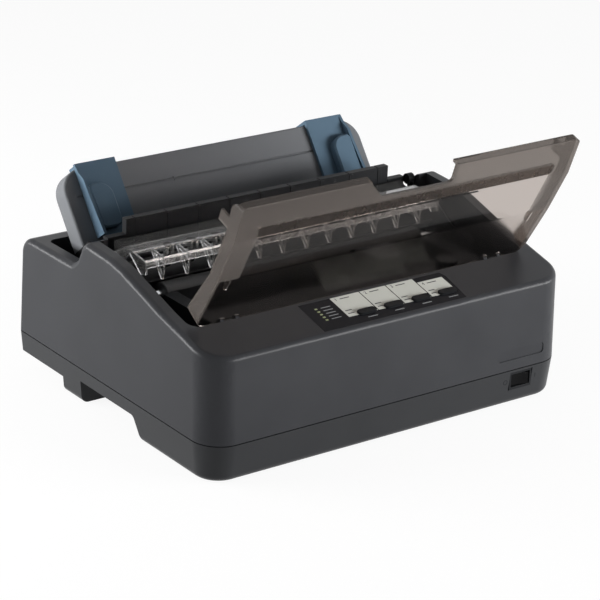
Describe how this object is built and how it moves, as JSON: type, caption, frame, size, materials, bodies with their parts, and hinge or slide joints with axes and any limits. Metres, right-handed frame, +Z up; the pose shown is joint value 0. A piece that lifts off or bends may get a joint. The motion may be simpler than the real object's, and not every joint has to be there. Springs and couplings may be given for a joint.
{
  "type": "dot matrix printer",
  "caption": "Narrow desktop dot matrix printer with a smoked hinged cover, fold-down paper guide, platen, carriage and push tractors.",
  "frame": {"origin": "middle of the bounding box, on the table", "axes": "+X to the right as seen from the front, +Y to the rear, +Z up"},
  "size_m": [0.3638, 0.2878, 0.2266],
  "materials": {
    "case_grey": "satin",
    "base_grey": "satin",
    "smoke": "glossy",
    "clear_plastic": "glossy",
    "dark_plastic": "satin",
    "panel_black": "glossy",
    "guide_grey": "satin",
    "guide_blue": "satin",
    "white_plastic": "satin",
    "steel_sheet": "satin",
    "bright_steel": "polished",
    "alloy": "satin",
    "rubber_black": "matte",
    "board_green": "satin"
  },
  "bodies": {
    "case": {"lower_case": "base_grey", "upper_case": "case_grey", "base_pads": "rubber_black", "screws": "bright_steel", "chassis_pan": "steel_sheet", "side_frame_left": "steel_sheet", "side_frame_right": "steel_sheet", "control_panel_plate": "panel_black", "button_board": "board_green", "power_switch_body": "dark_plastic", "paper_separator": "dark_plastic", "tear_off_bar": "clear_plastic", "eject_guide": "clear_plastic", "star_wheel_holders": "white_plastic", "sheet_chute": "steel_sheet", "feed_motor": "alloy", "carriage_shaft": "bright_steel", "carriage_rail": "steel_sheet", "carriage_motor": "alloy", "timing_belt": "rubber_black", "ribbon_cartridge": "dark_plastic", "tractor_rail": "bright_steel", "power_inlet": "dark_plastic", "interface_sockets": "dark_plastic", "control_board": "board_green", "power_supply": "board_green"},
    "cover": {"printer_cover": "smoke"},
    "guide_rod": {"guide_rod": "bright_steel"},
    "paper_guide": {"paper_guide": "guide_grey"},
    "edge_guide_left": {"edge_guide_left": "guide_blue"},
    "edge_guide_right": {"edge_guide_right": "guide_blue"},
    "platen": {"platen_roller": "rubber_black", "platen_shaft": "bright_steel", "platen_gear": "white_plastic", "platen_knob": "dark_plastic"},
    "feed_idler": {"feed_idler_gear": "white_plastic"},
    "feed_pinion": {"feed_pinion": "white_plastic"},
    "tractor_idler": {"tractor_idler_gear": "white_plastic"},
    "eject_idler": {"eject_idler_gear": "white_plastic"},
    "eject_shaft": {"eject_shaft": "dark_plastic"},
    "star_wheels": {"star_wheels": "white_plastic"},
    "feed_rollers": {"feed_rollers": "rubber_black"},
    "tractor_shaft": {"tractor_shaft": "bright_steel"},
    "carriage": {"carriage": "dark_plastic", "print_head": "alloy"},
    "drive_pulley": {"drive_pulley": "white_plastic"},
    "idler_pulley": {"idler_pulley": "white_plastic"},
    "ribbon_knob": {"ribbon_knob": "white_plastic"},
    "release_lever": {"release_lever": "dark_plastic"},
    "thickness_lever": {"thickness_lever": "dark_plastic"},
    "rocker": {"power_switch_rocker": "dark_plastic"},
    "button_1": {"panel_button_1": "dark_plastic"},
    "button_2": {"panel_button_2": "dark_plastic"},
    "button_3": {"panel_button_3": "dark_plastic"},
    "button_4": {"panel_button_4": "dark_plastic"},
    "tractor_left": {"tractor_unit_left": "dark_plastic"},
    "tractor_right": {"tractor_unit_right": "dark_plastic"},
    "tractor_lid_left": {"tractor_lid_left": "dark_plastic"},
    "tractor_lid_right": {"tractor_lid_right": "dark_plastic"}
  },
  "joints": [
    {"name": "cover_hinge", "type": "hinge", "parent": "case", "child": "cover", "pos_m": [-0.0079, -0.08358, 0.1113], "axis": [1, 0, 0], "range_deg": [-105, 0]},
    {"name": "guide_slot", "type": "slide", "parent": "case", "child": "guide_rod", "axis": [0, -0.7861, 0.6181], "range_m": [0, 0.02799]},
    {"name": "guide_tilt", "type": "hinge", "parent": "guide_rod", "child": "paper_guide", "pos_m": [-0.0079, 0.09212, 0.10272], "axis": [1, 0, 0], "range_deg": [-52.6, 0]},
    {"name": "edge_guide_left_slide", "type": "slide", "parent": "paper_guide", "child": "edge_guide_left", "axis": [1, 0, 0], "range_m": [-0.009, 0.07]},
    {"name": "edge_guide_right_slide", "type": "slide", "parent": "paper_guide", "child": "edge_guide_right", "axis": [1, 0, 0], "range_m": [-0.07, 0.009]},
    {"name": "platen_spin", "type": "hinge", "parent": "case", "child": "platen", "pos_m": [-0.0079, 0.00842, 0.1], "axis": [1, 0, 0], "continuous": true},
    {"name": "feed_idler_spin", "type": "hinge", "parent": "case", "child": "feed_idler", "pos_m": [-0.0079, 0.03551, 0.08285], "axis": [1, 0, 0], "continuous": true},
    {"name": "feed_pinion_spin", "type": "hinge", "parent": "case", "child": "feed_pinion", "pos_m": [-0.0079, 0.04442, 0.0605], "axis": [1, 0, 0], "continuous": true},
    {"name": "tractor_idler_spin", "type": "hinge", "parent": "case", "child": "tractor_idler", "pos_m": [-0.0079, 0.0614, 0.07203], "axis": [1, 0, 0], "continuous": true},
    {"name": "tractor_shaft_spin", "type": "hinge", "parent": "case", "child": "tractor_shaft", "pos_m": [-0.0079, 0.07842, 0.058], "axis": [1, 0, 0], "continuous": true},
    {"name": "eject_idler_spin", "type": "hinge", "parent": "case", "child": "eject_idler", "pos_m": [-0.0079, 0.01691, 0.11818], "axis": [1, 0, 0], "continuous": true},
    {"name": "eject_shaft_spin", "type": "hinge", "parent": "case", "child": "eject_shaft", "pos_m": [-0.0079, 0.03142, 0.117], "axis": [1, 0, 0], "continuous": true},
    {"name": "star_wheel_spin", "type": "hinge", "parent": "case", "child": "star_wheels", "pos_m": [-0.0079, 0.02597, 0.12644], "axis": [1, 0, 0], "continuous": true},
    {"name": "feed_roller_spin", "type": "hinge", "parent": "case", "child": "feed_rollers", "pos_m": [-0.0079, 0.01314, 0.08703], "axis": [1, 0, 0], "continuous": true},
    {"name": "carriage_slide", "type": "slide", "parent": "case", "child": "carriage", "axis": [1, 0, 0], "range_m": [-0.158, 0.042]},
    {"name": "drive_pulley_spin", "type": "hinge", "parent": "case", "child": "drive_pulley", "pos_m": [-0.1359, -0.03558, 0.063], "axis": [0, 0, 1], "range_deg": [-1294, 345]},
    {"name": "idler_pulley_spin", "type": "hinge", "parent": "case", "child": "idler_pulley", "pos_m": [0.1201, -0.03558, 0.063], "axis": [0, 0, 1], "range_deg": [-1294, 345]},
    {"name": "ribbon_knob_spin", "type": "hinge", "parent": "case", "child": "ribbon_knob", "pos_m": [0.0911, -0.06408, 0.106], "axis": [0, 0, 1], "continuous": true},
    {"name": "release_lever_swing", "type": "hinge", "parent": "case", "child": "release_lever", "pos_m": [0.1421, 0.03642, 0.092], "axis": [1, 0, 0], "range_deg": [0, 18]},
    {"name": "thickness_lever_swing", "type": "hinge", "parent": "case", "child": "thickness_lever", "pos_m": [0.1361, -0.03558, 0.08], "axis": [1, 0, 0], "range_deg": [0, 24]},
    {"name": "power_switch_rock", "type": "hinge", "parent": "case", "child": "rocker", "pos_m": [0.1211, -0.12408, 0.0224], "axis": [0, 0, 1], "range_deg": [0, 18]},
    {"name": "tractor_left_slide", "type": "slide", "parent": "case", "child": "tractor_left", "axis": [1, 0, 0], "range_m": [-0.006, 0.07]},
    {"name": "tractor_right_slide", "type": "slide", "parent": "case", "child": "tractor_right", "axis": [1, 0, 0], "range_m": [-0.07, 0.006]},
    {"name": "tractor_lid_left_hinge", "type": "hinge", "parent": "tractor_left", "child": "tractor_lid_left", "pos_m": [-0.1284, 0.08845, 0.07131], "axis": [0, -0.9724, -0.2334], "range_deg": [0, 95]},
    {"name": "tractor_lid_right_hinge", "type": "hinge", "parent": "tractor_right", "child": "tractor_lid_right", "pos_m": [0.1126, 0.08845, 0.07131], "axis": [0, 0.9724, 0.2334], "range_deg": [0, 95]},
    {"name": "button_1_press", "type": "slide", "parent": "case", "child": "button_1", "axis": [0, 0.2334, -0.9724], "range_m": [0, 0.0009], "stiffness_N_per_m": 250, "springref_m": -0.0004},
    {"name": "button_2_press", "type": "slide", "parent": "case", "child": "button_2", "axis": [0, 0.2334, -0.9724], "range_m": [0, 0.0009], "stiffness_N_per_m": 250, "springref_m": -0.0004},
    {"name": "button_3_press", "type": "slide", "parent": "case", "child": "button_3", "axis": [0, 0.2334, -0.9724], "range_m": [0, 0.0009], "stiffness_N_per_m": 250, "springref_m": -0.0004},
    {"name": "button_4_press", "type": "slide", "parent": "case", "child": "button_4", "axis": [0, 0.2334, -0.9724], "range_m": [0, 0.0009], "stiffness_N_per_m": 250, "springref_m": -0.0004}
  ],
  "couplings": [
    {"joint": "feed_idler_spin", "follows": "platen_spin", "ratio": -0.77778},
    {"joint": "feed_pinion_spin", "follows": "platen_spin", "ratio": 2.3333},
    {"joint": "tractor_idler_spin", "follows": "platen_spin", "ratio": 1.4},
    {"joint": "tractor_shaft_spin", "follows": "platen_spin", "ratio": -1.1667},
    {"joint": "eject_idler_spin", "follows": "platen_spin", "ratio": -2.3333},
    {"joint": "eject_shaft_spin", "follows": "platen_spin", "ratio": 1.6471},
    {"joint": "star_wheel_spin", "follows": "platen_spin", "ratio": -2.0325},
    {"joint": "feed_roller_spin", "follows": "platen_spin", "ratio": -2.375},
    {"joint": "drive_pulley_spin", "follows": "carriage_slide", "rad_per_m": 142.86},
    {"joint": "idler_pulley_spin", "follows": "carriage_slide", "rad_per_m": 142.86},
    {"joint": "guide_tilt", "follows": "guide_slot", "rad_per_m": -32.799}
  ]
}
